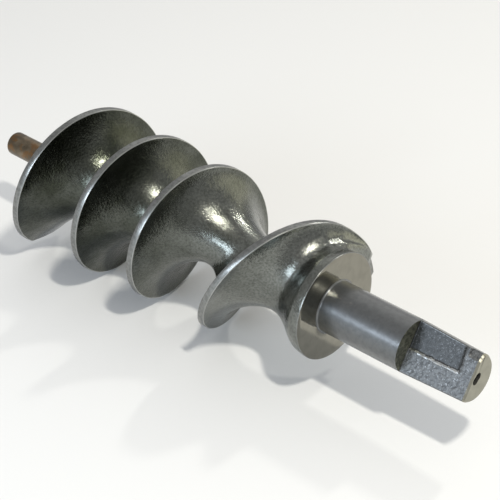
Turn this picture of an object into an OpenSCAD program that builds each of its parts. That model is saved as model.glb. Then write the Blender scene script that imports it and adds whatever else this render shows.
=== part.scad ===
// Feed screw of a meat mincer, resting with its axis along X.
// The drive shank points to +X, the knife stud to -X.
// The origin is on the axis, in the plane of the collar's thrust face.

/* [Screw] */
// distance from the thrust face to the front face of the screw
screw_len = 167.5; // [160:0.5:175]
// radius of the flight's machined land, carried on to the thrust face
flight_r = 31.75; // [29:0.05:34]
// growth of the land's radius per millimetre towards the knife end
flight_taper = 0.039; // [0:0.001:0.06]
// width of the machined land along the axis
land_w = 3.4; // [2:0.1:5]
// advance of the flight along the axis in one turn
lead = 34.4; // [31:0.1:38]
// extra advance that opens the flight under the hopper
hopper_gap = 31.2; // [20:0.1:36]
// turns from the collar to the middle of that extra advance
hopper_at = 0.438; // [0.35:0.001:0.55]
// turns over which the extra advance is spread
hopper_spread = 0.232; // [0.15:0.001:0.3]
// how sharply the flight runs forward to the front face in its last part turn
run_out = 42; // [0:1:60]
// angle round the axis at which the flight runs out on the collar
flight_end = 350.5; // [0:0.5:360]
// how far the land widens towards the collar just before it runs out
end_flare = 1.6; // [0:0.1:2.2]

/* [Trough] */
// radius at the bottom of the trough at the knife end
core_out_r = 14; // [12:0.1:16]
// radius at the bottom of the trough where it is deepest
core_min_r = 8.9; // [8:0.1:12]
// radius at the bottom of the trough next to the collar
core_in_r = 13.7; // [12:0.1:16]
// place of the deepest line across the trough, as a share of its width
deep_at = 0.62; // [0.5:0.01:0.7]
// the same place in the first turn, next to the collar
deep_at_in = 0.52; // [0.4:0.01:0.6]
// fullness of the trough's side that faces the drive end
back_curve = 1.7; // [1.3:0.05:2.2]
// how much flatter that side becomes where the flight runs out at the front
front_soften = 0.55; // [0:0.05:0.8]
// fullness of the trough's side that pushes the meat
push_curve = 2.3; // [1.8:0.05:2.8]

/* [Collar and shank] */
// radius of the thrust collar
collar_r = 24.5; // [23:0.1:27]
// thickness of the collar's rim
collar_t = 3.8; // [2.5:0.1:5]
// length of the bevel that brings the flight down to the collar
bevel_len = 1.2; // [1:0.1:6]
// radius of the journal that runs in the mincer's bush
journal_r = 11.75; // [11:0.05:12.5]
// length of the journal, from the thrust face to the tang's shoulder
journal_len = 41.5; // [36:0.1:46]
// fillet where the journal meets the thrust face
root_fillet = 0.8; // [0.4:0.1:1.2]
// length of the half-round drive tang
tang_len = 31.7; // [26:0.1:36]
// radius of the tang at its free end
tang_end_r = 10.6; // [10:0.05:11]
// height of the tang's flat above the axis
flat_h = 3.1; // [1:0.1:6]
// direction that the flat faces, round the axis from +Y towards +Z
flat_dir = 147; // [0:1:360]
// radius of the centre hole in the tang's end
centre_r = 2.4; // [1.5:0.1:2.6]

/* [Knife stud] */
// radius of the round pin that carries the plate
pin_r = 5.7; // [5:0.05:6]
// rounding of the pin's tip
pin_tip = 1.2; // [0.4:0.1:2]
// length of the stud outside the screw
stud_out = 36.2; // [33:0.1:45]
// distance across the flats of the knife's square
square_af = 11.8; // [11.5:0.1:13]
// length of the knife's square
square_len = 13; // [11:0.5:16]
// radius of the threaded end inside the screw
thread_r = 5; // [4:0.1:5.4]
// length of the threaded end
thread_len = 30; // [20:0.5:36]

/* [Hidden] */
eps = 0.01;
rows_turn = 48;            // rows of facets in one turn of the flight
back_cols = 6;             // facets across the side facing the drive end
push_cols = 4;             // facets across the pushing side
cols = back_cols + push_cols + 1;   // the last one spans the land
run_out_from = 3.25;       // turns from the collar to the start of the run out
x_front = -screw_len;
x_back = -collar_t;
edge_start = x_back + 0.6; // the land's edge runs just past the collar's back edge
neck_r = collar_r - 0.2;   // the cast surface stops just short of the turned rim

function tanh(t) = 1 - 2 / (exp(2 * t) + 1);
// x of the land's drive-side edge, v turns back from the collar
function edge_x(v) =
    edge_start - lead * v - run_out * pow(max(0, v - run_out_from), 2)
    - hopper_gap / 2 * (tanh(hopper_at / hopper_spread)
                        - tanh((hopper_at - v) / hopper_spread));
// the same edge with the widening at its end
function lip_x(v) = edge_x(v) + end_flare * smooth((0.15 - v) / 0.05);
// radius of the machined outside at x
function env_r(x) =
    let (full = flight_r - flight_taper * x, bevel = neck_r + (x_back - x) * (flight_r
        + flight_taper * (bevel_len - x_back) - neck_r) / bevel_len)
    max(neck_r, min(full, bevel));
function smooth(t) = let (c = min(1, max(0, t))) c * c * (3 - 2 * c);
function back_shape(v) = back_curve - front_soften * smooth((v - 3.4) / 0.3);
// knife-side edge of the next land, or the collar's back edge in the first turn
function right_x(v) = min(edge_x(v - 1) - land_w, x_back);
function core_r(v) = core_min_r + (core_out_r - core_min_r) * smooth((v - 1.65) / 1.0)
    + (core_in_r - core_min_r) * smooth((1.5 - v) / 0.8);
// 1 in the first turn, where the trough's far side is the collar
function collar_mix(v) = smooth((1.06 - v) / 0.3);
function deep_share(v) = deep_at + (deep_at_in - deep_at) * collar_mix(v);
// how much of the full depth the trough has where it closes on the collar
function closing(v) = v >= 1 ? 1 : sin(min(90, 90 * max(0, x_back - lip_x(v)) / 42));
// radius of the screw's surface at x, in the trough that starts v turns back
function skin_r(v, x) =
    let (xl = lip_x(v), xr = right_x(v), q = min(1, max(0, (x - xl) / max(eps, xr - xl))),
         m = deep_share(v), rim = env_r(q < m ? xl : xr), mix = collar_mix(v),
         p = q < m ? 1 - q / m : (q - m) / (1 - m), n = q < m ? back_shape(v) : push_curve,
         cove = pow(max(0, 1 - pow(p, n)), 1 / n),
         d = q < m ? cove : mix * pow(cos(90 * p), 2) + (1 - mix) * cove,
         rc = core_r(v), deep = env_r(xl) - (env_r(xl) - rc) * closing(v))
    x > xr ? env_r(x) : rim - (rim - deep) * d;
// x of column j of the row v turns back
function col_x(v, j) =
    let (xl = lip_x(v), xr = right_x(v), m = deep_share(v))
    j <= back_cols
        ? xl + (xr - xl) * m * (1 - pow(cos(90 * j / back_cols), 2 / back_shape(v)))
        : xl + (xr - xl) * (m + (1 - m) * pow(sin(90 * (j - back_cols) / push_cols), 2 / push_curve));

// first row whose own land lies wholly in front of the screw's front face
function front_row(k = 0) = edge_x(k / rows_turn) <= x_front + eps ? k : front_row(k + 1);
first_cut = front_row();
last_row = first_cut + rows_turn;
ring_start = (last_row + 1) * cols;   // the ring of points at the collar's back

// point j of row k is shared: columns that the two end planes cut off fall on one point
function id(k, j) =
    j == cols ? (k >= rows_turn ? id(k - rows_turn, 0) : ring_start + k)
    : k < rows_turn && col_x(k / rows_turn, j) > x_back - eps ? ring_start + k
    : k >= first_cut && next_x(k, j) <= x_front + eps ? id(k, j + 1)
    : k * cols + j;
function next_x(k, j) = j + 1 == cols ? edge_x(k / rows_turn - 1) : col_x(k / rows_turn, j + 1);
function polar(x, r, k) = let (a = flight_end + 360 * k / rows_turn) [x, r * cos(a), r * sin(a)];

module screw_thread() {
    grid = [for (k = [0:last_row], j = [0:cols - 1])
        let (v = k / rows_turn, x = min(x_back, max(x_front, col_x(v, j))))
        polar(x, skin_r(v, x), k)];
    ring = [for (k = [0:rows_turn - 1]) polar(x_back, neck_r, k)];
    inner = [for (k = [0:rows_turn - 1]) polar(x_back + collar_t / 2, neck_r, k)];
    inner_start = ring_start + rows_turn;
    front_mid = inner_start + rows_turn;
    back_mid = front_mid + 1;
    skin = [for (k = [0:last_row - 1], j = [0:cols - 1])
        let (a = id(k, j), b = id(k, j + 1), c = id(k + 1, j + 1), d = id(k + 1, j))
        each [[a, b, c], [a, c, d]]];
    collar = [for (k = [0:rows_turn - 1])
        let (n = (k + 1) % rows_turn, a = ring_start + k, b = inner_start + k,
             c = inner_start + n, d = ring_start + n)
        each [[a, b, c], [a, c, d], [b, back_mid, c]]];
    front = [for (k = [first_cut:last_row - 1]) [front_mid, id(k, 0), id(k + 1, 0)]];
    polyhedron(
        concat(grid, ring, inner, [[x_front, 0, 0], [x_back + collar_t / 2, 0, 0]]),
        [for (f = concat(skin, collar, front))
            if (f[0] != f[1] && f[1] != f[2] && f[2] != f[0]) f]);
}

module along_x(x) { translate([x, 0, 0]) rotate([0, 90, 0]) children(); }

module shank() {
    along_x(x_back) cylinder(r = collar_r, h = collar_t);
    along_x(0) rotate_extrude()
        polygon([[0, -1], [journal_r + root_fillet, -1], [journal_r + root_fillet, 0],
                 for (a = [0:15:90]) [journal_r + root_fillet * (1 - sin(a)),
                                      root_fillet * (1 - cos(a))],
                 [journal_r, journal_len], [0, journal_len]]);
    difference() {
        along_x(journal_len) cylinder(r1 = journal_r, r2 = tang_end_r, h = tang_len);
        rotate([flat_dir - 90, 0, 0]) translate([journal_len - eps, -20, flat_h])
            cube([tang_len + 1, 40, 20]);
    }
}

module feed_screw() {
    color("DimGray") difference() {
        union() { screw_thread(); shank(); }
        along_x(x_front - 1) cylinder(r = thread_r + 0.05, h = thread_len + 1.5);
        along_x(journal_len + tang_len - centre_r * 1.2) cylinder(r1 = 0.3, r2 = centre_r, h = centre_r * 1.2 + eps);
    }
}

module knife_stud() {
    color("Peru") {
        along_x(x_front) cylinder(r = thread_r, h = thread_len);
        intersection() {
            translate([x_front - square_len, -square_af / 2, -square_af / 2])
                cube([square_len, square_af, square_af]);
            along_x(x_front - square_len) cylinder(r = square_af * 0.64, h = square_len);
        }
        along_x(x_front) rotate_extrude()
            polygon([[0, -square_len], [pin_r, -square_len],
                     for (a = [0:15:90]) [pin_r - pin_tip * (1 - cos(a)),
                                          -stud_out + pin_tip * (1 - sin(a))],
                     [0, -stud_out]]);
    }
}

feed_screw();
knife_stud();
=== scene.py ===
"""Builds the visible model of a meat mincer's feed screw round its packed frame.

The casting is drawn again at a fine pitch from the same dimensions as the frame:
flight, core, thrust collar, journal and half-round tang in one skin. The steel knife
stud is a piece of its own. A stage gives the floor, the lamps and the camera.
"""

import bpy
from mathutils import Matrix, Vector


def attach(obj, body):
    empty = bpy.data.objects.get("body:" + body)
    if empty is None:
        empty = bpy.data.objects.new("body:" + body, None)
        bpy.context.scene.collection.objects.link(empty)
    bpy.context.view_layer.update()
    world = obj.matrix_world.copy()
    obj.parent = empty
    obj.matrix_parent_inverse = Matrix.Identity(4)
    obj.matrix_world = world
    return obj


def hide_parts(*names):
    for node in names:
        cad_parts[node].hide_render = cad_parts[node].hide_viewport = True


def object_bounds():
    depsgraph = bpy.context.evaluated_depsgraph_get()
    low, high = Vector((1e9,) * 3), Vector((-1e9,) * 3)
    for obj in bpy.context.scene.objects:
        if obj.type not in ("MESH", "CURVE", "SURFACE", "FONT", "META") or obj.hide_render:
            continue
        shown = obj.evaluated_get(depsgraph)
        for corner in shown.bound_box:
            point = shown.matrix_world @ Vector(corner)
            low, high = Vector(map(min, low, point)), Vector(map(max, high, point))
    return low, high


bl_info = {
    "name": "Mincer Feed Screw",
    "version": (1, 0, 0),
    "blender": (4, 5, 0),
    "location": "View3D > Sidebar > Feed Screw",
    "description": "Casting, knife stud and studio for a meat mincer's feed screw",
    "category": "Add Mesh",
}

import math

import bpy
from bpy.props import FloatProperty, FloatVectorProperty, IntProperty, PointerProperty
from mathutils import Matrix, Vector, noise

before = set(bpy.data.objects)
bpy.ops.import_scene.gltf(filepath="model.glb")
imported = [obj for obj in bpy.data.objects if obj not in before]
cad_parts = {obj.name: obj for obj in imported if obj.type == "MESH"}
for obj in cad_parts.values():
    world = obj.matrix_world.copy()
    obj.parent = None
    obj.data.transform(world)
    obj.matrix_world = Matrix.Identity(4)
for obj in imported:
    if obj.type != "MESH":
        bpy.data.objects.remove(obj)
cad_low, cad_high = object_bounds()

CASTING_NODE = "feed_screw"
STUD_NODE = "knife_stud"
MM = 0.001
SHARP = math.radians(32)    # edges turned by more than this stay sharp
TINY = 1e-5                 # metres within which two places count as one

# Spots dressed with a grinder where the trough runs out by the collar: middle, normal, reach
GROUND_SPOTS = (
    (Vector((-0.0088, 0.0128, 0.0227)), Vector((0.42, 0.10, 0.90)).normalized(), 6.2 * MM),
    (Vector((-0.0125, 0.0030, 0.0243)), Vector((0.52, -0.22, 0.82)).normalized(), 4.5 * MM))
GROUND_DEPTH = 0.3 * MM

BARE_STEEL = (0.6, 0.62, 0.64)
# Near-black tones painted into the centre hole as shade
HOLE_SHADE_TONES = ((0.012, 0.012, 0.01), (0.03, 0.028, 0.022))

# Slots of the casting's materials, in the order in which they are added; the land's edge and the burr
# carry painted highlights
(CAST, LAND, EDGE_HIGHLIGHT, FACE, JOURNAL, SHOULDER, TANG, POCKET, BURR_HIGHLIGHT, TANG_END, HOLE,
 FRONT) = range(12)


def length(name, text, default, low=0.0, high=1.0):
    """A length in metres that the sidebar shows in the scene's unit."""
    return FloatProperty(name=name, description=text, default=default, min=low, max=high,
                         subtype="DISTANCE", unit="LENGTH", precision=5)


def colour(name, text, default):
    """A colour that the sidebar shows as a swatch."""
    return FloatVectorProperty(name=name, description=text, default=default, size=3,
                               min=0.0, max=1.0, subtype="COLOR")


def factor(name, text, default, low=0.0, high=1.0):
    """A number without a unit."""
    return FloatProperty(name=name, description=text, default=default, min=low, max=high)


def angle(name, text, degrees, low=0, high=360):
    """An angle, given here in degrees and kept in radians."""
    return FloatProperty(name=name, description=text, default=math.radians(degrees),
                         min=math.radians(low), max=math.radians(high),
                         subtype="ANGLE", unit="ROTATION")


class ScrewSizes(bpy.types.PropertyGroup):
    """Flight, trough and core of the casting"""

    screw_length: length("Screw length", "From the thrust face to the front face", 0.1675)
    flight_radius: length("Flight radius", "Land radius carried on to the thrust face", 0.03175)
    flight_taper: factor("Flight taper", "Growth of the radius per length to the front", 0.039)
    land_width: length("Land width", "Width of the turned land", 0.0034)
    land_rounding: length("Land rounding", "Rounding of the land's two edges", 0.00035)
    lead: length("Lead", "Advance of the flight in one turn", 0.0344)
    hopper_gap: length("Hopper gap", "Extra advance under the hopper", 0.0312)
    hopper_at: factor("Hopper place", "Turns from the collar to that advance", 0.438)
    hopper_spread: factor("Hopper spread", "Turns that the advance is spread over", 0.232)
    run_out: length("Run out", "How sharply the flight runs to the front face", 0.042)
    run_out_from: factor("Run out from", "Turns to the start of the run out", 3.25, 0, 5)
    flight_end: angle("Flight end", "Angle at which the flight meets the collar", 350.5)
    end_flare: length("End flare", "Widening of the land where it ends", 0.0016)
    core_front: length("Core at the front", "Trough's bottom radius at the front", 0.014)
    core_least: length("Least core", "Trough's bottom radius where it is deepest", 0.0089)
    core_back: length("Core at the collar", "Trough's bottom radius by the collar", 0.0137)
    deep_at: factor("Deepest line", "Place of the trough's bottom across its width", 0.62)
    deep_at_back: factor("Deepest line at the collar", "The same in the first turn", 0.52)
    back_curve: factor("Back curve", "Fullness of the side that faces the drive", 1.7, 1, 4)
    front_soften: factor("Front softening", "How much flatter it is at the run out", 0.55)
    push_curve: factor("Push curve", "Fullness of the side that pushes", 2.3, 1, 4)
    bevel_length: length("End bevel", "Length of the bevel on the flight's end", 0.0012)
    rows: IntProperty(name="Rows a turn", description="Rows of faces in one turn",
                      default=180, min=36, max=360)


class ShankSizes(bpy.types.PropertyGroup):
    """Thrust collar, journal and drive tang of the casting"""

    collar_radius: length("Collar radius", "Radius of the thrust collar", 0.0245)
    collar_thickness: length("Collar thickness", "Thickness of the collar's rim", 0.0038)
    collar_fall: length("Collar fall", "How much the rim falls away at its back", 0.0004)
    journal_radius: length("Journal radius", "Radius of the journal", 0.01175)
    journal_length: length("Journal length", "From the thrust face to the shoulder", 0.0415)
    root_fillet: length("Root fillet", "Fillet between journal and thrust face", 0.0008)
    tang_length: length("Tang length", "Length of the half-round tang", 0.0317)
    tang_end_radius: length("Tang end radius", "Radius at the tang's free end", 0.0106)
    flat_height: length("Flat height", "Height of the flat above the axis", 0.0031)
    flat_direction: angle("Flat direction", "Direction that the flat faces", 147)
    pocket_depth: length("Pocket depth", "Depth of the worn pocket in the flat", 0.0006)
    pocket_end: length("Pocket end", "From the shoulder to the pocket's end", 0.0245)
    centre_radius: length("Centre hole", "Radius of the centre hole", 0.0022)


class StudSizes(bpy.types.PropertyGroup):
    """Thread, knife square and plate pin of the stud"""

    thread_radius: length("Thread radius", "Outer radius of the thread", 0.005)
    thread_length: length("Thread length", "Length screwed into the casting", 0.030)
    thread_pitch: length("Thread pitch", "Advance of the thread in one turn", 0.0015)
    thread_depth: length("Thread depth", "Depth of the thread's groove", 0.0008)
    hole_clearance: length("Hole clearance", "Room round the thread in its hole", 0.00005)
    hole_spare: length("Hole spare", "Depth of the hole past the thread's end", 0.0005)
    pin_radius: length("Pin radius", "Radius of the plate pin", 0.0057)
    pin_rounding: length("Tip rounding", "Rounding of the pin's tip", 0.0012)
    stud_length: length("Stud length", "Length outside the screw", 0.0362)
    square: length("Square", "Distance across the knife's square", 0.0118)
    square_length: length("Square length", "Length of the knife's square", 0.013)


class Finishes(bpy.types.PropertyGroup):
    """Colours of the metal surfaces"""

    # Ends of the casting's tone: random clouds mix them a little, and painted shade darkens the knife
    # end towards the first
    cast_dark_and_shaded: colour("Cast skin, dark", "Olive shade of the coated casting",
                      (0.038, 0.043, 0.031))
    cast_light_and_lit: colour("Cast skin, light", "Blue-grey shade of the coated casting",
                       (0.186, 0.194, 0.186))
    land_tone: colour("Turned land", "Turned outside of the flight", (0.245, 0.25, 0.243))
    face_tone: colour("Thrust face", "Polished face of the collar", (0.275, 0.265, 0.225))
    journal_tone: colour("Journal", "Ground surface of the journal", (0.14, 0.147, 0.15))
    shoulder_tone: colour("Shoulder", "Worn wall between journal and tang", (0.25, 0.258, 0.205))
    tang_tone: colour("Tang flat", "Rough surface of the tang's flat", (0.134, 0.138, 0.14))
    tang_end_tone: colour("Tang end", "Sawn end face of the tang", (0.36, 0.35, 0.29))
    stud_tone: colour("Stud", "Brown tarnish of the steel stud", (0.205, 0.165, 0.115))
    rust_tone: colour("Stud rust", "Thin rust on the stud", (0.21, 0.115, 0.05))
    floor_tone: colour("Floor", "Pale matt floor", (0.79, 0.795, 0.80))


class StudioSettings(bpy.types.PropertyGroup):
    """Floor, lamps and camera"""

    window_power: factor("Window power", "Strength of the cool front lamp, in watts", 3.6, 0, 1000)
    ceiling_power: factor("Ceiling power", "Strength of the warm top lamp, in watts", 5.5, 0, 1000)
    far_ceiling_power: factor("Far ceiling power", "Strength of the small far lamp, in watts",
                              1.65, 0, 1000)
    overhead_power: factor("Overhead power", "Strength of the soft top lamp, in watts", 0.9, 0, 1000)
    wall_power: factor("Wall power", "Strength of the warm far side lamp, in watts", 1.7, 0, 1000)
    room_light: factor("Room light", "Strength of the even light all round", 0.5, 0, 10)
    lens: factor("Lens", "Focal length on a 36 mm sensor, in millimetres", 120.8, 10, 400)
    azimuth: angle("Azimuth", "Camera's angle from -Y towards +X", 42.47, -180, 180)
    elevation: angle("Elevation", "Camera's angle above the floor", 33.6, -90, 90)
    distance: length("Distance", "From the camera to the point it looks at", 0.73402, 0.1, 10)
    aim: FloatVectorProperty(name="Aim", description="Point that the camera looks at",
                             default=(-0.05179, 0.00371, 0.00338), subtype="XYZ", unit="LENGTH")


def smooth(t):
    """Eases from 0 to 1 as t goes from 0 to 1."""
    c = min(1.0, max(0.0, t))
    return c * c * (3 - 2 * c)


def turn(x, r, degrees):
    """The point at x along the axis, r from it, at an angle from +Y towards +Z."""
    a = math.radians(degrees)
    return (x, r * math.cos(a), r * math.sin(a))


class Flight:
    """The flight's land and the trough beside it, as sections v turns back from the collar."""

    back_columns = 22
    push_columns = 16
    end_inset = 0.6 * MM            # gap between the collar's rim and the start of the flight
    closing_width = 42 * MM         # the trough has its full depth once it is this wide
    collar_fullness = 1.6           # fullness of the trough's side by the collar
    # Changes along the flight, in turns: where they begin or end, and how long they take
    flare_end, flare_over = 0.15, 0.05
    collar_side_end, collar_side_over = 1.06, 0.3
    collar_core_end, collar_core_over = 1.5, 0.8
    front_core_from, front_core_over = 1.65, 1.0
    soften_from, soften_over = 3.4, 0.3

    def __init__(self, screw, shank):
        self.s = screw
        self.neck = shank.collar_radius - shank.collar_fall
        self.x_back = -shank.collar_thickness
        self.x_front = -screw.screw_length
        self.start = self.x_back + self.end_inset
        self.round = screw.land_rounding

    def edge(self, v):
        """x of the land's drive-side edge."""
        s = self.s
        spread = s.hopper_spread
        opened = math.tanh(s.hopper_at / spread) - math.tanh((s.hopper_at - v) / spread)
        return (self.start - s.lead * v - s.run_out * max(0.0, v - s.run_out_from) ** 2
                - s.hopper_gap / 2 * opened)

    def lip(self, v):
        """The same edge with the widening at its end."""
        return self.edge(v) + self.s.end_flare * smooth((self.flare_end - v) / self.flare_over)

    def outside(self, x):
        """Radius of the turned outside at x."""
        s = self.s
        full = s.flight_radius - s.flight_taper * x
        top = s.flight_radius + s.flight_taper * (s.bevel_length - self.x_back)
        bevel = self.neck + (self.x_back - x) * (top - self.neck) / s.bevel_length
        return max(self.neck, min(full, bevel))

    def far_edge(self, v):
        """Knife-side edge of the next land, or the collar's back edge in the first turn."""
        return min(self.edge(v - 1) - self.s.land_width, self.x_back)

    def bottom(self, v):
        """Radius of the trough's bottom."""
        s = self.s
        to_front = smooth((v - self.front_core_from) / self.front_core_over)
        to_collar = smooth((self.collar_core_end - v) / self.collar_core_over)
        return (s.core_least + (s.core_front - s.core_least) * to_front
                + (s.core_back - s.core_least) * to_collar)

    def closing(self, v, near):
        """Share of its depth that the trough has where it narrows towards the collar."""
        if v >= 1:
            return 1.0
        width = max(0.0, self.x_back - near) / self.closing_width
        return math.sin(math.pi / 2 * min(1.0, width))

    def section(self, v):
        """Points (x, radius) across the trough and the land that ends it."""
        s = self.s
        near, far = self.lip(v), self.far_edge(v)
        by_collar = smooth((self.collar_side_end - v) / self.collar_side_over)
        share = s.deep_at + (s.deep_at_back - s.deep_at) * by_collar
        softened = smooth((v - self.soften_from) / self.soften_over)
        curve = s.back_curve - s.front_soften * softened
        near_rim = self.outside(near) - self.round
        far_rim = self.outside(far) - (self.round if far < self.x_back - self.round else 0)
        deep = near_rim - (near_rim - self.bottom(v)) * self.closing(v, near)
        points = []
        for j in range(self.back_columns):
            t = j / self.back_columns
            p = math.cos(math.pi / 2 * t) ** (2 / curve)
            depth = max(0.0, 1 - p ** curve) ** (1 / curve)
            points.append((near + (far - near) * share * (1 - p),
                           near_rim - (near_rim - deep) * depth))
        for j in range(self.push_columns):
            t = j / self.push_columns
            p = math.sin(math.pi / 2 * t) ** (2 / s.push_curve)
            full = max(0.0, 1 - p ** s.push_curve) ** (1 / s.push_curve)
            collar_side = math.cos(math.pi / 2 * p) ** self.collar_fullness
            depth = by_collar * collar_side + (1 - by_collar) * full
            points.append((near + (far - near) * (share + (1 - share) * p),
                           far_rim - (far_rim - deep) * depth))
        return points + self.land(v, far, far_rim)

    def land(self, v, far, far_rim):
        """Points across the land, from its knife-side edge to just short of its drive-side edge."""
        c = self.round
        corner = 0.3 * c
        end = max(far + 2.5 * c, self.lip(v - 1))
        middle = (far + end) / 2
        return [(far, far_rim), (far + corner, self.outside(far) - corner),
                (far + c, self.outside(far + c)), (middle, self.outside(middle)),
                (end - c, self.outside(end - c)), (end - corner, self.outside(end) - corner)]


class Skin:
    """Points and faces of one piece, gathered before they become a mesh."""

    def __init__(self):
        self.points, self.faces, self.finish = [], [], []

    def point(self, place):
        """Adds a point and returns its number."""
        self.points.append(place)
        return len(self.points) - 1

    def face(self, corners, finish):
        """Adds a face, unless its corners run together."""
        kept = [c for i, c in enumerate(corners) if c != corners[i - 1]]
        if len(kept) > 2:
            self.faces.append(kept)
            self.finish.append(finish)

    def ring(self, x, radius, angles):
        """A ring of (angle, point) round the axis. The radius may be a function of the angle."""
        reach = radius if callable(radius) else lambda a: radius
        return [(a, self.point(turn(x, reach(a), a))) for a in angles]

    def strip(self, one, two, finish, closed=True):
        """Faces between two lists of points of the same length."""
        for k in range(len(one) if closed else len(one) - 1):
            m = (k + 1) % len(one)
            self.face([one[k], one[m], two[m], two[k]], finish)

    def build(self, name, materials):
        """The mesh object, smooth but for its sharp edges."""
        mesh = bpy.data.meshes.new(name)
        mesh.from_pydata(self.points, [], self.faces)
        for material in materials:
            mesh.materials.append(material)
        mesh.polygons.foreach_set("material_index", self.finish)
        mesh.polygons.foreach_set("use_smooth", [True] * len(mesh.polygons))
        mesh.set_sharp_from_angle(angle=SHARP)
        mesh.validate()
        mesh.update()
        piece = bpy.data.objects.new(name, mesh)
        bpy.context.scene.collection.objects.link(piece)
        return piece


def uneven(place, radius):
    """Moves a place for the hollows of the moulded surface and the spots ground flat."""
    broad = 0.208 * MM * noise.noise(place * 110)
    small = 0.08 * MM * noise.noise(place * 330)
    out = Vector((0.0, place.y, place.z)) / radius
    place = place + out * min(broad + small, 0.0)
    for middle, normal, reach in GROUND_SPOTS:
        above = (place - middle).dot(normal)
        inside = smooth(2.5 * (1 - (place - middle).length / reach))
        place = place - normal * min(max(above, 0.0), GROUND_DEPTH) * inside
    return place


def add_thread(skin, flight, hole_radius, hole_depth):
    """The helical skin, the front face and the stud's hole. Returns the ring at the collar."""
    rows = flight.s.rows
    x_front, x_back = flight.x_front, flight.x_back
    first_cut = 0
    while flight.edge(first_cut / rows) > x_front + TINY:
        first_cut += 1
    last = first_cut + rows
    start = math.degrees(flight.s.flight_end) - 360
    step = 360 / rows
    sections = [flight.section(k / rows) for k in range(last + 1)]
    columns = len(sections[0])
    land_from = flight.back_columns + flight.push_columns
    ring = skin.ring(x_back, flight.neck, [start + step * k for k in range(rows)])
    ids = [[None] * (columns + 1) for _ in range(last + 1)]
    for k, section in enumerate(sections):
        row = ids[k]
        row[columns] = ids[k - rows][0] if k >= rows else ring[k][1]
        after = sections[k - rows][0] if k >= rows else (x_back, flight.neck)
        for j in reversed(range(columns)):
            x, r = section[j]
            if k < rows and x > x_back - TINY:
                row[j] = ring[k][1]
            elif k >= first_cut and after[0] <= x_front + TINY:
                row[j] = row[j + 1]
            else:
                if x < x_front:
                    part = (x_front - x) / (after[0] - x)
                    x, r = x_front, r + (after[1] - r) * part
                place = Vector(turn(x, r, start + step * k))
                if j < land_from:
                    place = uneven(place, r)
                row[j] = skin.point(tuple(place))
            after = section[j]
    for k in range(last):
        for j in range(columns):
            corners = [ids[k][j], ids[k + 1][j], ids[k + 1][j + 1], ids[k][j + 1]]
            finish = CAST
            if j >= land_from:
                # The last two columns, round the land's drive-side edge, take a lighter tone as a
                # painted highlight
                finish = EDGE_HIGHLIGHT if j >= columns - 2 else LAND
            skin.face(corners, finish)
    outer = [ids[k][0] for k in range(first_cut, last)]
    angles = [start + step * k for k in range(first_cut, last)]
    mouth = [p for _, p in skin.ring(x_front, hole_radius, angles)]
    skin.strip(mouth, outer, FRONT)
    wall = [p for _, p in skin.ring(x_front + hole_depth, hole_radius, angles)]
    skin.strip(wall, mouth, FRONT)
    skin.face(wall[::-1], FRONT)
    return ring


def add_collar(skin, ring, shank, angles):
    """Rim, thrust face, root fillet and journal, up to the shoulder."""
    r, edge = shank.collar_radius, 0.25 * MM
    fillet, journal = shank.root_fillet, shank.journal_radius
    back, fall = shank.collar_thickness, shank.collar_fall
    profile = [(-back * (1 - k / 5), r - fall * (1 - k / 5) ** 2, CAST) for k in range(1, 5)]
    profile += [(-edge, r, CAST), (-0.3 * edge, r - 0.3 * edge, LAND), (0.0, r - edge, LAND)]
    inner = journal + fillet
    for k in range(1, 7):
        profile.append((0.0, r - edge + (inner - r + edge) * k / 6, FACE))
    for k in range(1, 6):
        a = math.radians(90 * k / 5)
        profile.append((fillet * (1 - math.cos(a)), inner - fillet * math.sin(a), JOURNAL))
    for k in range(1, 9):
        profile.append((fillet + (shank.journal_length - fillet) * k / 8, journal, JOURNAL))
    for x, radius, finish in profile:
        following = skin.ring(x, radius, angles)
        skin.strip([p for _, p in ring], [p for _, p in following], finish)
        ring = following
    return ring


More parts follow.
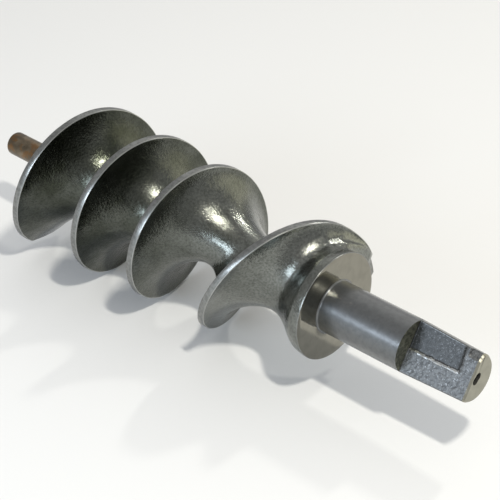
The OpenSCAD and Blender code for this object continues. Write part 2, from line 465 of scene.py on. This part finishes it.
class Tang:
    """The half-round tang: a tapering round bar with a flat, worn on its upper half."""

    across = 88
    along = 120
    edge = 0.3 * MM
    chamfer = 0.9 * MM
    fillet = 0.5 * MM
    pocket_from = -0.8 * MM
    burr_height = 0.34 * MM
    burr_width = 0.55 * MM
    burr_below = 0.45 * MM          # how far the burr lies below the pocket's side
    burr_from = 2.5 * MM            # where the burr starts, from the shoulder
    side_slope = 1.3 * MM           # width of the slope along the pocket's lower side
    end_slope = 3.0 * MM            # and at its far end
    pad_from = 1.2 * MM             # where the unworn pad starts, past the pocket's end
    bevel_from = 6.8 * MM           # the pad's corner falls away past this, across the flat
    bevel_fall = 0.45               # and how steeply it does

    def __init__(self, shank):
        self.k = shank
        self.start = shank.journal_length
        self.end = shank.journal_length + shank.tang_length
        self.facing = math.degrees(shank.flat_direction)

    def radius(self, x):
        """Radius of the round at x."""
        k = self.k
        return k.journal_radius + (k.tang_end_radius - k.journal_radius) * (
            (x - self.start) / k.tang_length)

    def half_angle(self, x, drop=0.0):
        """Half the angle that the flat cuts out of the round, in degrees."""
        return math.degrees(math.acos((self.k.flat_height - drop) / self.radius(x)))

    def wander(self, s, u):
        """Unevenness of the pocket's outline, from -1 to 1."""
        return noise.noise(Vector((s * 420, u * 420, 3.1)))

    def past_side(self, s, u):
        """How far a place is past the pocket's lower side, u across the flat from its middle."""
        return u - self.pocket_from + 0.4 * MM * self.wander(s, 0.0) - 0.02 * s

    def worn(self, s, u):
        """1 in the worn pocket and 0 outside it."""
        side = smooth(self.past_side(s, u) / self.side_slope + 0.5)
        before_end = self.k.pocket_end - s + 0.7 * MM * self.wander(s, u) - 0.1 * (u - 3 * MM)
        return side * smooth(before_end / self.end_slope + 0.5)

    def burr(self, s, u):
        """The ridge that the wear has raised along the pocket's lower side."""
        away = (self.past_side(s, u) + self.burr_below) / self.burr_width
        started = smooth((s - self.burr_from) / MM)
        reach = started * smooth((self.k.pocket_end + 1.0 * MM - s) / (1.2 * MM))
        broken = 0.75 + 0.9 * noise.noise(Vector((s * 700, 0.0, 9.2)))
        return max(0.0, 1 - away * away) * reach * max(0.15, min(1.0, broken))

    def finish(self, x, u):
        """Slot of the material at a place on the flat."""
        s = x - self.start
        worn = self.worn(s, u)
        # The slope along the pocket's lower side takes the same painted highlight as the burr
        wall = 0.06 < worn < 0.8 and abs(self.past_side(s, u)) < 0.65 * MM
        if self.burr(s, u) > 0.35 or (wall and 3 * MM < s < self.k.pocket_end):
            return BURR_HIGHLIGHT
        return POCKET if worn > 0.5 else TANG

    def height(self, x, u):
        """Height of the flat above the axis, u across it from its middle."""
        k, s = self.k, x - self.start
        rise = 0.0
        if s < self.fillet:
            rise = self.fillet - math.sqrt(self.fillet ** 2 - (self.fillet - s) ** 2)
        worn = self.worn(s, u)
        lumps = noise.noise(Vector((s * 750, u * 750, 1.3))) * 0.1 * MM
        fine = noise.noise(Vector((s * 1500, u * 1500, 7.7))) * 0.05 * MM
        pad = smooth((s - k.pocket_end - self.pad_from) / (0.8 * MM))
        bevel = pad * max(0.0, u - self.bevel_from) * self.bevel_fall
        return (k.flat_height + rise - worn * k.pocket_depth - bevel
                + self.burr_height * self.burr(s, u) + (lumps + fine) * (1 - 0.7 * worn))

    def station(self, skin, x, angles, sink=0.0):
        """One cross-section: points round the arc, then across the flat."""
        r = self.radius(x) - sink
        middle = self.facing
        sides = []
        for side in (1, -1):
            reach = self.radius(x) * math.sin(math.radians(self.half_angle(x))) - self.edge
            height = self.height(x, side * reach) - sink
            sides.append((math.sqrt(r ** 2 - height ** 2) - self.edge,
                          math.degrees(math.acos((height - self.edge) / r))))
        (upper, upper_angle), (lower, lower_angle) = sides
        arc = [skin.point(turn(x, r, a)) for a in angles]
        flat = [skin.point(turn(x, r, middle - upper_angle))]
        a = math.radians(middle)
        for j in range(self.across + 1):
            u = upper - (upper + lower) * j / self.across
            h = self.height(x, u) - sink
            flat.append(skin.point((x, h * math.cos(a) + u * math.sin(a),
                                    h * math.sin(a) - u * math.cos(a))))
        flat.append(skin.point(turn(x, r, middle + lower_angle)))
        return arc, flat

    def add(self, skin, ring, angles):
        """The whole tang on the journal's last ring."""
        k = self.k
        spare = 1.5     # degrees between the flat's edge and the nearest points of the ring
        corner = self.half_angle(self.start, self.edge + k.pocket_depth) + spare
        low = [a for a in angles if abs((a - self.facing + 180) % 360 - 180) > corner]
        order = sorted(low, key=lambda a: (a - self.facing) % 360)
        whole = k.tang_length - self.chamfer
        stations = [self.start + whole * j / self.along for j in range(self.along)]
        loops = [self.station(skin, x, order) for x in stations]
        stations.append(self.end - self.chamfer)
        loops.append(self.station(skin, stations[-1], order))
        loops.append(self.station(skin, self.end, order, sink=0.75 * self.chamfer))
        last = len(loops) - 1
        for j in range(last):
            (arc, flat), (arc2, flat2) = loops[j], loops[j + 1]
            one, two = [flat[-1]] + arc + [flat[0]], [flat2[-1]] + arc2 + [flat2[0]]
            skin.strip(one, two, TANG_END if j == last - 1 else JOURNAL, closed=False)
            for i in range(len(flat) - 1):
                _, y, z = skin.points[flat[i]]
                a = math.radians(self.facing)
                u = y * math.sin(a) - z * math.cos(a)
                finish = TANG_END if j == last - 1 else self.finish(stations[j], u)
                # The flat's rounded edges, and the strip beside the upper one, look like the round
                if j < last - 1 and i in (0, 1, len(flat) - 2):
                    finish = JOURNAL
                skin.face([flat[i], flat[i + 1], flat2[i + 1], flat2[i]], finish)
        self.add_shoulder(skin, ring, loops[0], order)
        self.add_end(skin, loops[-1])

    def add_shoulder(self, skin, ring, loop, order):
        """Joins the journal's ring to the first section, with the shoulder's wall above it."""
        arc, flat = loop
        inside = set(order)
        below = {a: p for a, p in zip(order, arc)}
        n = len(ring)
        for i, (angle, point) in enumerate(ring):
            nxt, other = ring[(i + 1) % n]
            if angle in inside and nxt in inside:
                skin.face([point, other, below[nxt], below[angle]], JOURNAL)
        direction = self.facing
        upper = sorted((((a - direction + 180) % 360 - 180), p) for a, p in ring
                       if a not in inside)
        first = ring_point(ring, order[-1])
        final = ring_point(ring, order[0])
        wall = [first] + [p for _, p in upper] + [final]
        skin.face(wall + [arc[0]] + flat[::-1] + [arc[-1]], SHOULDER)

    def add_end(self, skin, loop):
        """The end face and the centre hole in it, a little out of round."""
        arc, flat = loop
        outline = arc + flat
        x, r = self.end, self.k.centre_radius
        previous = outline
        for place, share in ((x, 1.0), (x - 0.25 * MM, 0.9), (x - 2.4 * MM, 0.75),
                             (x - 5.5 * MM, 0.6)):
            hole = []
            for p in outline:
                _, y, z = skin.points[p]
                a = math.degrees(math.atan2(z, y))
                lobes = 0.78 + 0.5 * abs(math.cos(math.radians(a - 40))) ** 1.5
                hole.append(skin.point(turn(place, r * share * lobes, a)))
            skin.strip(previous, hole, TANG_END if place == x else HOLE)
            previous = hole
        skin.face(previous, HOLE)


def ring_point(ring, angle):
    """The ring's point at an angle."""
    return next(p for a, p in ring if a == angle)


def stud_skin(stud, x_front):
    """Thread, knife square and plate pin of the stud."""
    skin = Skin()
    around, rings_a_turn, groove_slope = 96, 8, 2.6
    angles = [360 * k / around for k in range(around)]
    half, edge = stud.square / 2, 0.3 * MM
    corner = 0.64 * stud.square     # radius that the square's corners are turned down to
    thread, pin, tip_rounding = stud.thread_length, stud.pin_radius, stud.pin_rounding

    def squared(inset):
        def reach(a):
            c, s = abs(math.cos(math.radians(a))), abs(math.sin(math.radians(a)))
            return min(corner - inset, (half - inset) / max(c, s))
        return reach

    def threaded(x):
        def reach(a):
            phase = (x / stud.thread_pitch + a / 360) % 1
            groove = max(0.0, 1 - abs(phase - 0.5) * groove_slope)
            return stud.thread_radius - stud.thread_depth * groove
        return reach

    loops = [(x_front + thread, stud.thread_radius - stud.thread_depth)]
    steps = round(thread / stud.thread_pitch * rings_a_turn)
    for j in range(1, steps):
        x = thread * (1 - j / steps)
        loops.append((x_front + x, threaded(x)))
    square_end, tip = x_front - stud.square_length, x_front - stud.stud_length
    loops += [(x_front, stud.thread_radius), (x_front, squared(0.0)),
              (square_end + edge, squared(0.0)), (square_end, squared(edge)), (square_end, pin)]
    straight = square_end - tip - tip_rounding
    loops += [(square_end - straight * j / 6, pin) for j in range(1, 7)]
    for j in range(1, 7):
        a = math.radians(15 * j)
        loops.append((tip + tip_rounding * (1 - math.sin(a)), pin - tip_rounding * (1 - math.cos(a))))
    rings = [[p for _, p in skin.ring(x, r, angles)] for x, r in loops]
    for one, two in zip(rings[1:], rings):
        skin.strip(one, two, 0)
    skin.face(rings[0], 0)
    skin.face(rings[-1][::-1], 0)
    return skin


class Shade:
    """A shader socket. Arithmetic on it adds Math nodes to its tree."""

    def __init__(self, tree, socket=None):
        self.tree, self.socket = tree, socket

    def add(self, kind, settings=(), inputs=(), out=0):
        """A node of a kind, its settings first and then its sockets' values or links."""
        node = self.tree.nodes.new(kind)
        for name, value in dict(settings).items():
            setattr(node, name, value)
        for key, value in dict(inputs).items():
            if isinstance(value, Shade):
                self.tree.links.new(value.socket, node.inputs[key])
            else:
                node.inputs[key].default_value = value
        return Shade(self.tree, node.outputs[out])

    def math(self, operation, *values):
        """A Math node on numbers or links."""
        return self.add("ShaderNodeMath", {"operation": operation}, dict(enumerate(values)))

    def __add__(self, other):
        return self.math("ADD", self, other)

    def __sub__(self, other):
        return self.math("SUBTRACT", self, other)

    def __rsub__(self, other):
        return self.math("SUBTRACT", other, self)

    def __mul__(self, other):
        return self.math("MULTIPLY", self, other)

    __radd__, __rmul__ = __add__, __mul__

    def between(self, low, high):
        """0 below low, 1 above high, and a smooth rise between."""
        return self.add("ShaderNodeMapRange", {"interpolation_type": "SMOOTHSTEP"},
                        {0: self, 1: low, 2: high})

    def mix(self, factor, one, two):
        """A colour between two, each a colour or a link."""
        full = [c if isinstance(c, Shade) else (*c, 1.0) for c in (one, two)]
        return self.add("ShaderNodeMix", {"data_type": "RGBA"},
                        {0: factor, 6: full[0], 7: full[1]}, out=2)

    def tint(self, one, two):
        """One colour multiplied by another."""
        return self.add("ShaderNodeMix", {"data_type": "RGBA", "blend_type": "MULTIPLY"},
                        {0: 1.0, 6: one, 7: two}, out=2)


class Metal:
    """One metal finish: its patterns run in the part's own coordinates, in metres."""

    def __init__(self, name, roughness=0.3):
        self.material = bpy.data.materials.new(name)
        self.material.use_nodes = True
        tree = self.material.node_tree
        tree.nodes.clear()
        self.g = Shade(tree)
        self.shader = tree.nodes.new("ShaderNodeBsdfPrincipled")
        output = tree.nodes.new("ShaderNodeOutputMaterial")
        tree.links.new(self.shader.outputs[0], output.inputs["Surface"])
        self.shader.inputs["Metallic"].default_value = 1.0
        self.shader.inputs["Roughness"].default_value = roughness
        self.place = self.g.add("ShaderNodeTexCoord", out="Object")
        split = self.g.add("ShaderNodeSeparateXYZ", inputs={0: self.place})
        node = split.socket.node
        self.x, self.y, self.z = (Shade(tree, node.outputs[k]) for k in range(3))

    def noise(self, size, detail=3.0, rough=0.55, place=None, stretch=None):
        """Smooth noise whose patches are about this size, in metres."""
        where = place or self.place
        if stretch:
            where = self.g.add("ShaderNodeVectorMath", {"operation": "MULTIPLY"},
                               {0: where, 1: stretch})
        return self.g.add("ShaderNodeTexNoise", {"noise_dimensions": "3D"},
                          {"Vector": where, "Scale": 1 / size, "Detail": detail,
                           "Roughness": rough})

    def radius(self):
        """Distance from the axis."""
        return self.g.math("SQRT", self.y * self.y + self.z * self.z)

    def feed(self, socket, value):
        """Links a pattern to one of the shader's sockets, or sets a plain value on it."""
        if isinstance(value, Shade):
            self.g.tree.links.new(value.socket, self.shader.inputs[socket])
        else:
            self.shader.inputs[socket].default_value = value

    def bump(self, height, depth):
        """Bumps of this depth, in metres."""
        made = self.g.add("ShaderNodeBump",
                          inputs={"Strength": 1.0, "Distance": depth, "Height": height})
        self.feed("Normal", made)


def scaled(tone, share):
    """A colour made lighter or darker."""
    return [share * c for c in tone]


def cast_skin(tones):
    """Glossy, finely pebbled skin, with painted shade: olive-black at the knife end, blue-grey by the
    collar.
    """
    m = Metal("coated_casting")
    clouds = m.noise(14 * MM, 3)
    pebble = m.noise(1.0 * MM, 3, 0.6)
    dents = m.noise(3.0 * MM, 2)
    # Painted shade and light: the tone darkens towards the knife end and lightens by the collar
    painted_light_by_collar = m.x.between(-0.14, -0.012)
    tone = m.g.mix(clouds.between(0.3, 0.7) * 0.3 + painted_light_by_collar * 0.7, tones.cast_dark_and_shaded,
                   tones.cast_light_and_lit)
    shade = m.g.mix(pebble.between(0.25, 0.65), (0.66, 0.66, 0.63), (1.22, 1.22, 1.18))
    m.feed("Base Color", m.g.tint(tone, shade))
    m.feed("Roughness", m.noise(1.6 * MM, 4) * 0.2 + 0.12)
    m.feed("Coat Weight", 0.35)
    m.feed("Coat Roughness", 0.15)
    m.bump(pebble * 0.65 + dents * 0.6, 0.24 * MM)
    return m.material


def turned(name, tone, roughness, lines, depth, uneven=0.1, patch=5 * MM, stain=0.4, oil=0.0):
    """Turned metal: fine lines round the axis, set out along x or across the radius.

    Stains in patches darken the tone and make the roughness uneven, and oil adds a film.
    """
    m = Metal(name)
    pitch = 0.25 * MM
    if lines == "along":
        marks = m.noise(pitch, 2, 0.5, stretch=(1.0, 0.02, 0.02))
    else:
        rings = m.g.add("ShaderNodeCombineXYZ", inputs={0: m.radius()})
        marks = m.noise(pitch, 2, 0.5, place=rings)
    stains = m.noise(patch, 4)
    m.feed("Base Color", m.g.mix(stains.between(0.35, 0.7) * stain, tone, scaled(tone, 0.68)))
    m.feed("Roughness", stains * uneven + marks * 0.08 + (roughness - 0.04 - uneven / 2))
    m.feed("Coat Weight", oil)
    m.feed("Coat Roughness", 0.22)
    m.bump(marks, depth)
    return m.material


def worn_flat(name, tone, dark, speck_share, roughness, depth):
    """Ground and worn flat: blotches down to a dark share of the tone, pits and light specks."""
    m = Metal(name)
    blotch = m.noise(1.4 * MM, 4, 0.6)
    specks = m.noise(0.6 * MM, 2)
    ground = m.g.mix(blotch.between(0.35, 0.65), scaled(tone, dark), scaled(tone, 1.2))
    m.feed("Base Color", m.g.mix(specks.between(0.6, 0.7) * speck_share, ground, BARE_STEEL))
    m.feed("Roughness", blotch * 0.25 + (roughness - 0.12))
    m.bump(blotch * 0.7 + specks * 0.4, depth)
    return m.material


def tarnished_steel(tones):
    """Turned steel with dark oil and thin brown rust."""
    m = Metal("tarnished_steel")
    marks = m.noise(0.3 * MM, 2, 0.5, stretch=(1.0, 0.03, 0.03))
    oil = m.noise(7 * MM, 3)
    rust = m.noise(4.5 * MM, 4, 0.65)
    tone = m.g.mix(oil.between(0.38, 0.62), scaled(tones.stud_tone, 0.62),
                   scaled(tones.stud_tone, 1.1))
    m.feed("Base Color", m.g.mix(rust.between(0.5, 0.64) * 0.8, tone, tones.rust_tone))
    m.feed("Roughness", rust * 0.3 + marks * 0.08 + 0.14)
    m.bump(marks * 0.5 + rust * 0.8, 0.06 * MM)
    return m.material


def shaded_hole():
    """Painted shade in the centre hole: near-black, blotchy walls."""
    m = Metal("shaded_hole", 0.8)
    shade_noise = m.noise(0.8 * MM, 3)
    m.feed("Metallic", 0.0)
    m.feed("Base Color", m.g.mix(shade_noise, *HOLE_SHADE_TONES))
    m.bump(shade_noise, 0.1 * MM)
    return m.material


class FEEDSCREW_OT_casting(bpy.types.Operator):
    """Make the cast screw with its collar, journal and tang"""

    bl_idname = "feed_screw.casting"
    bl_label = "Cast Screw"

    def execute(self, context):
        scene = context.scene
        shank, stud, tones = scene.fs_shank, scene.fs_stud, scene.fs_finishes
        skin = Skin()
        ring = add_thread(skin, Flight(scene.fs_screw, shank),
                          stud.thread_radius + stud.hole_clearance,
                          stud.thread_length + stud.hole_spare)
        angles = [a for a, _ in ring]
        last = add_collar(skin, ring, shank, angles)
        Tang(shank).add(skin, last, angles)
        piece = skin.build("screw_casting", [
            cast_skin(tones),
            turned("turned_land", scaled(tones.land_tone, 1.12), 0.32, "along", 0.04 * MM,
                   uneven=0.22, patch=1.6 * MM, stain=1.0),
            # Painted highlight along the land's drive-side edge
            turned("painted_highlight_edge", scaled(tones.land_tone, 1.6), 0.34, "along", 0.01 * MM),
            turned("polished_thrust_face", tones.face_tone, 0.07, "across", 0.001 * MM,
                   uneven=0.04),
            turned("ground_journal", tones.journal_tone, 0.42, "along", 0.03 * MM, uneven=0.24,
                   patch=2.2 * MM, stain=0.6, oil=1.0),
            worn_flat("dark_shoulder", tones.shoulder_tone, 0.6, 0.1, 0.5, 0.08 * MM),
            worn_flat("rough_flat", scaled(tones.tang_tone, 1.25), 0.66, 0.5, 0.5, 0.12 * MM),
            worn_flat("worn_pocket", scaled(tones.tang_tone, 0.55), 0.8, 0.22, 0.42, 0.06 * MM),
            # Painted highlight: the burr and the slope beside it, far lighter than the flat
            worn_flat("burr_painted_highlight", scaled(tones.tang_tone, 3.6), 0.7, 0.3, 0.35, 0.06 * MM),
            turned("sawn_tang_end", tones.tang_end_tone, 0.42, "across", 0.02 * MM),
            # Painted shade in the centre hole
            shaded_hole(),
            turned("turned_front", tones.land_tone, 0.35, "across", 0.02 * MM)])
        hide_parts(CASTING_NODE)
        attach(piece, "root")
        return {"FINISHED"}


class FEEDSCREW_OT_stud(bpy.types.Operator):
    """Make the steel stud that carries the knife and the plate"""

    bl_idname = "feed_screw.stud"
    bl_label = "Knife Stud"

    def execute(self, context):
        scene = context.scene
        skin = stud_skin(scene.fs_stud, -scene.fs_screw.screw_length)
        piece = skin.build("knife_pin", [tarnished_steel(scene.fs_finishes)])
        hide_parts(STUD_NODE)
        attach(piece, "root")
        return {"FINISHED"}


class FEEDSCREW_OT_stage(bpy.types.Operator):
    """Lay the floor, hang the lamps and set the camera"""

    bl_idname = "feed_screw.stage"
    bl_label = "Floor, Lamps and Camera"

    def execute(self, context):
        scene = context.scene
        studio = scene.fs_studio
        self.floor(scene, cad_low.z)
        self.lamp(scene, "window", towards=(-0.1, -0.93, 0.33), away=0.9, size=(0.6, 0.24),
                  power=studio.window_power, tone=(0.76, 0.87, 1.0))
        self.lamp(scene, "ceiling", towards=(0.43, -0.12, 0.89), away=1.0, size=(0.05, 0.09),
                  power=studio.ceiling_power, tone=(1.0, 0.96, 0.86))
        self.lamp(scene, "far ceiling", towards=(0.02, 0.74, 0.67), away=1.0, size=(0.05, 0.07),
                  power=studio.far_ceiling_power, tone=(1.0, 0.98, 0.9))
        self.lamp(scene, "overhead", towards=(-0.5, 0.6, 0.7), away=1.2, size=(0.9, 0.9),
                  power=studio.overhead_power, tone=(1.0, 0.98, 0.94))
        self.lamp(scene, "wall", towards=(0.5, 0.85, 0.22), away=1.2, size=(1.1, 0.6),
                  power=studio.wall_power, tone=(1.0, 0.95, 0.68))
        world = bpy.data.worlds.new("room")
        world.use_nodes = True
        back = world.node_tree.nodes["Background"]
        back.inputs["Color"].default_value = (1.0, 1.0, 1.0, 1.0)
        back.inputs["Strength"].default_value = studio.room_light
        scene.world = world
        scene.view_settings.view_transform = "Standard"
        self.camera(scene, studio)
        return {"FINISHED"}

    def floor(self, scene, height):
        """A pale matt floor under the piece."""
        skin = Skin()
        middle, reach = (cad_low.x + cad_high.x) / 2, 3.0
        corners = [skin.point((middle + reach * a, reach * b, height))
                   for a, b in ((-1, -1), (1, -1), (1, 1), (-1, 1))]
        skin.face(corners, 0)
        m = Metal("pale_floor", 0.6)
        m.feed("Metallic", 0.0)
        tone = scene.fs_finishes.floor_tone
        m.feed("Base Color", m.g.mix(m.noise(60 * MM, 2) * 0.15, tone, scaled(tone, 0.97)))
        skin.build("floor", [m.material])

    def lamp(self, scene, name, towards, away, size, power, tone):
        """A soft rectangular lamp, this far off in a direction, facing the screw's middle."""
        data = bpy.data.lights.new(name, "AREA")
        data.shape = "RECTANGLE"
        data.size, data.size_y = size
        data.energy, data.color = power, tone
        lamp = bpy.data.objects.new(name, data)
        direction = Vector(towards).normalized()
        lamp.location = (cad_low + cad_high) / 2 + direction * away
        lamp.rotation_euler = direction.to_track_quat("Z", "Y").to_euler()
        scene.collection.objects.link(lamp)

    def camera(self, scene, studio):
        """Looks down on the drive end from the near side."""
        data = bpy.data.cameras.new("camera")
        data.lens, data.sensor_width = studio.lens, 36.0
        camera = bpy.data.objects.new("camera", data)
        azimuth, elevation = studio.azimuth, studio.elevation
        level = math.cos(elevation)
        back = Vector((math.sin(azimuth) * level, -math.cos(azimuth) * level, math.sin(elevation)))
        right = Vector((math.cos(azimuth), math.sin(azimuth), 0.0))
        axes = Matrix((right, back.cross(right), back)).transposed()
        place = Vector(studio.aim) + back * studio.distance
        camera.matrix_world = Matrix.Translation(place) @ axes.to_4x4()
        scene.collection.objects.link(camera)
        scene.camera = camera


class FEEDSCREW_PT_panel(bpy.types.Panel):
    """Lists the pieces' sizes, the finishes and the buttons that make them"""

    bl_idname = "FEEDSCREW_PT_panel"
    bl_label = "Feed Screw"
    bl_space_type = "VIEW_3D"
    bl_region_type = "UI"
    bl_category = "Feed Screw"

    def draw(self, context):
        for name, group in GROUPS.items():
            box = self.layout.box()
            box.label(text=group.__doc__)
            for prop in group.__annotations__:
                box.prop(getattr(context.scene, name), prop)
        for operator in OPERATORS:
            self.layout.operator(operator.bl_idname)


GROUPS = {"fs_screw": ScrewSizes, "fs_shank": ShankSizes, "fs_stud": StudSizes,
          "fs_finishes": Finishes, "fs_studio": StudioSettings}
OPERATORS = (FEEDSCREW_OT_casting, FEEDSCREW_OT_stud, FEEDSCREW_OT_stage)


def register():
    """Makes the settings, the buttons and the panel known to Blender."""
    for group in GROUPS.values():
        bpy.utils.register_class(group)
    for name, group in GROUPS.items():
        setattr(bpy.types.Scene, name, PointerProperty(type=group))
    for operator in OPERATORS:
        bpy.utils.register_class(operator)
    bpy.utils.register_class(FEEDSCREW_PT_panel)


def unregister():
    """Takes them away again."""
    bpy.utils.unregister_class(FEEDSCREW_PT_panel)
    for operator in reversed(OPERATORS):
        bpy.utils.unregister_class(operator)
    for name in GROUPS:
        delattr(bpy.types.Scene, name)
    for group in GROUPS.values():
        bpy.utils.unregister_class(group)


def main():
    """Builds the pieces and the stage."""
    register()
    bpy.ops.feed_screw.casting()
    bpy.ops.feed_screw.stud()
    bpy.ops.feed_screw.stage()


if __name__ == "__main__":
    main()
